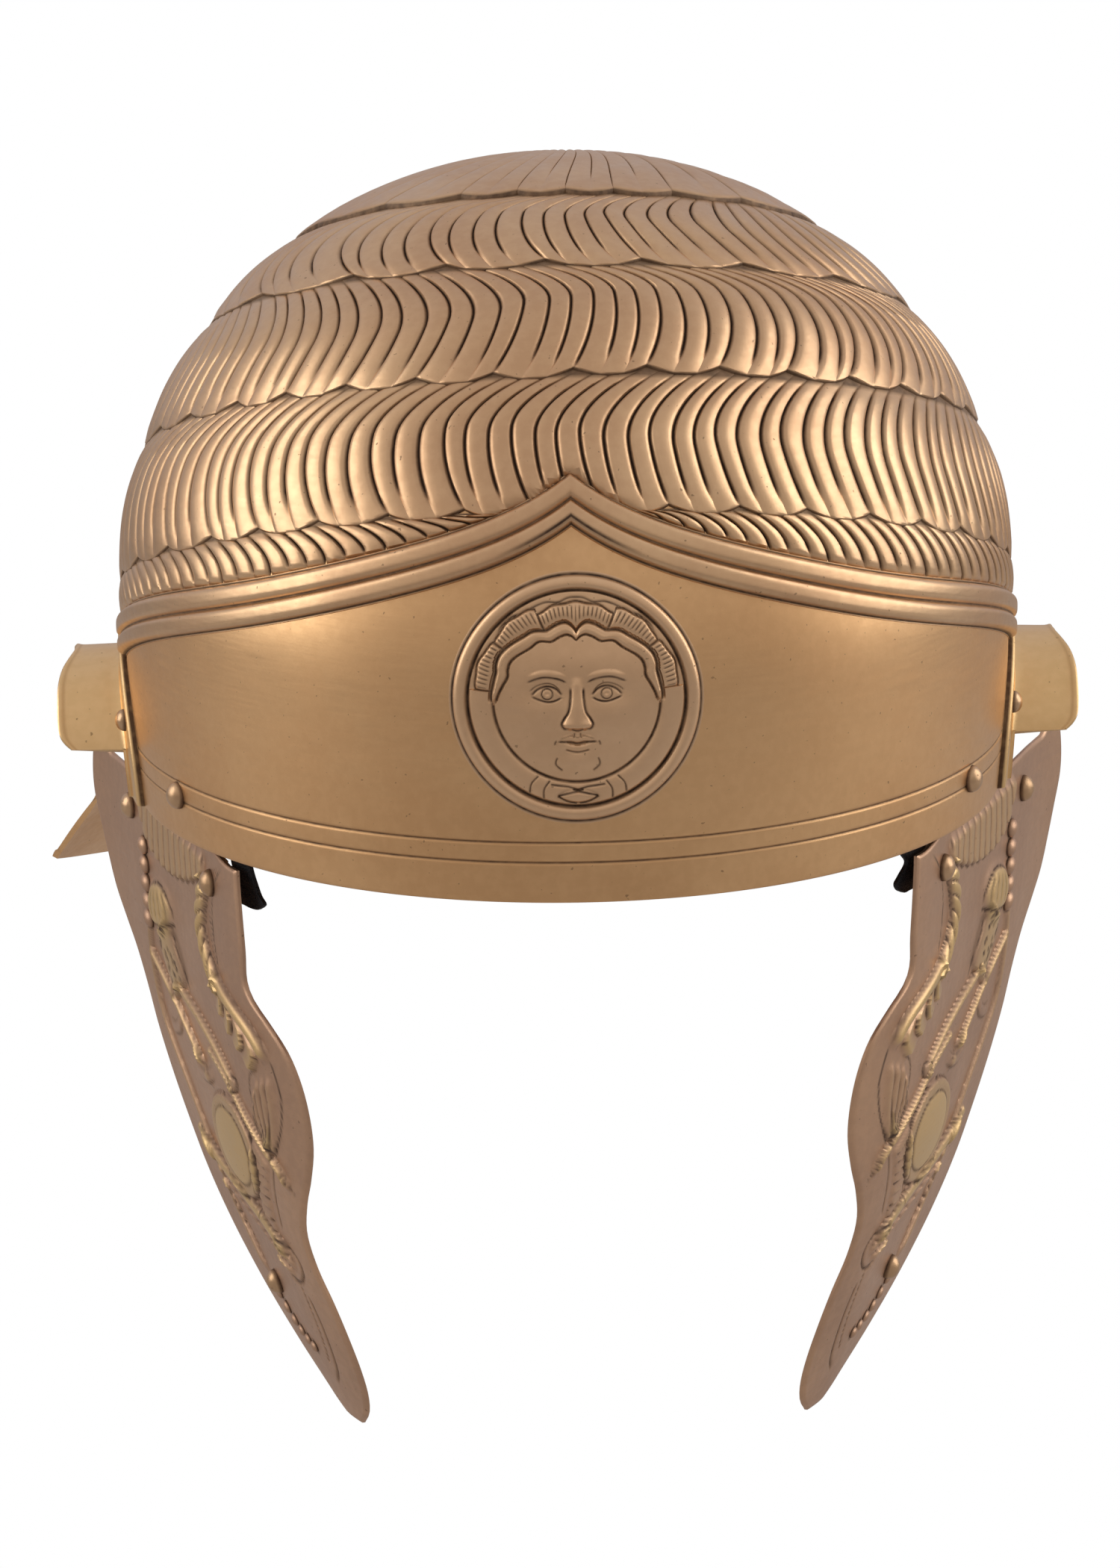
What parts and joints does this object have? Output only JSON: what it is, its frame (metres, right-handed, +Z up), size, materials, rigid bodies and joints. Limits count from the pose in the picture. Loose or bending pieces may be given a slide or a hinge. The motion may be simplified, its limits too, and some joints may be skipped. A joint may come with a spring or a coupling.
{
  "type": "roman auxiliary helmet",
  "caption": "Brass helmet embossed with waves of hair over a peaked diadem with a mask medallion, with ear guards, a neck guard and hinged cheek pieces.",
  "frame": {"origin": "centre of the head opening, level with the brow rim, where a head sits in the helmet", "axes": "+Z up towards the crown, -Y the way the helmet faces, +X towards the viewer's right as it faces the viewer"},
  "size_m": [0.253, 0.2886, 0.2833],
  "materials": {
    "warm_brass": "satin, browned in the grooves",
    "yellow_brass": "satin",
    "cheek_brass": "satin, browned in the embossing",
    "hinge_brass": "dull",
    "rivet_brass": "polished",
    "black_leather": "matt"
  },
  "bodies": {
    "shell": {"bowl": "warm_brass", "ear_guard_right": "yellow_brass", "hinge_bowl_leaf_right": "hinge_brass", "hinge_pin_right": "hinge_brass", "bowl_rivet_right": "rivet_brass", "ear_rivet_front_right": "rivet_brass", "ear_rivet_rear_right": "rivet_brass", "leather_tab_right": "black_leather", "ear_guard_left": "yellow_brass", "hinge_bowl_leaf_left": "hinge_brass", "hinge_pin_left": "hinge_brass", "bowl_rivet_left": "rivet_brass", "ear_rivet_front_left": "rivet_brass", "ear_rivet_rear_left": "rivet_brass", "leather_tab_left": "black_leather"},
    "cheek_right": {"cheek_piece_right": "cheek_brass", "hinge_cheek_leaf_right": "hinge_brass", "cheek_rivet_front_right": "rivet_brass", "cheek_rivet_rear_right": "rivet_brass", "cheek_stud_right": "rivet_brass"},
    "cheek_left": {"cheek_piece_left": "cheek_brass", "hinge_cheek_leaf_left": "hinge_brass", "cheek_rivet_front_left": "rivet_brass", "cheek_rivet_rear_left": "rivet_brass", "cheek_stud_left": "rivet_brass"}
  },
  "joints": [
    {"name": "cheek_hinge_right", "type": "hinge", "parent": "shell", "child": "cheek_right", "pos_m": [0.08694, -0.03602, -0.0015], "axis": [-0.328, -0.9447, 0], "range_deg": [-6, 25]},
    {"name": "cheek_hinge_left", "type": "hinge", "parent": "shell", "child": "cheek_left", "pos_m": [-0.08506, -0.03613, -0.0015], "axis": [-0.2701, 0.9628, 0], "range_deg": [-6, 25]}
  ]
}
